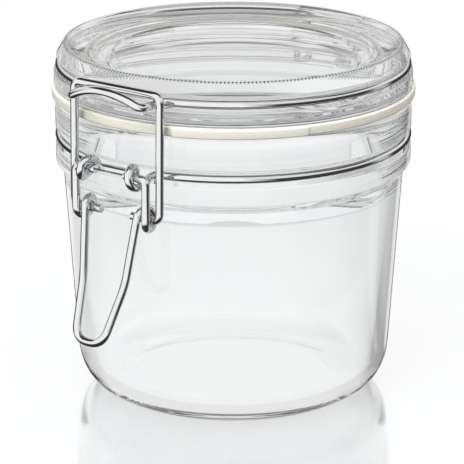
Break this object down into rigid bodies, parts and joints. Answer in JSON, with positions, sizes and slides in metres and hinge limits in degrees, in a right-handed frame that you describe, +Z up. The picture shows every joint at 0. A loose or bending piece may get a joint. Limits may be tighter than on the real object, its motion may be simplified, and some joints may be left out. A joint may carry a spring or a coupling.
{
  "type": "clip-top jar",
  "caption": "Clear glass preserving jar with a hinged glass lid, a rubber sealing ring with a pull tab, and a bent-wire over-centre clip closure.",
  "frame": {"origin": "on the jar's axis, in the plane of the base that it stands on", "axes": "+Z up along the jar's axis, -Y towards the clip and lever, +Y towards the lid's hinge, +X to the right seen from the clip's side"},
  "size_m": [0.103, 0.1262, 0.1017],
  "materials": {
    "clear_glass": "clear pressed soda-lime glass, smooth",
    "steel_wire": "bright drawn steel wire",
    "cream_rubber": "cream natural rubber, matt"
  },
  "bodies": {
    "jar": {"jar_body": "clear_glass", "neck_wire": "steel_wire"},
    "lid": {"lid": "clear_glass", "gasket": "cream_rubber", "lid_wire": "steel_wire"},
    "lever": {"lever": "steel_wire"},
    "clip": {"clip": "steel_wire"}
  },
  "joints": [
    {"name": "lid_hinge", "type": "hinge", "parent": "jar", "child": "lid", "pos_m": [0, 0.0555, 0.07575], "axis": [-1, 0, 0], "range_deg": [0, 110]},
    {"name": "lever_pivot", "type": "hinge", "parent": "jar", "child": "lever", "pos_m": [0, -0.0555, 0.07575], "axis": [-1, 0, 0], "range_deg": [0, 150]},
    {"name": "clip_pivot", "type": "hinge", "parent": "lever", "child": "clip", "pos_m": [0, -0.053, 0.06395], "axis": [-1, 0, 0], "range_deg": [-115, 0]}
  ],
  "couplings": [
    {"joint": "clip_pivot", "follows": "lever_pivot", "ratio": -0.75}
  ]
}
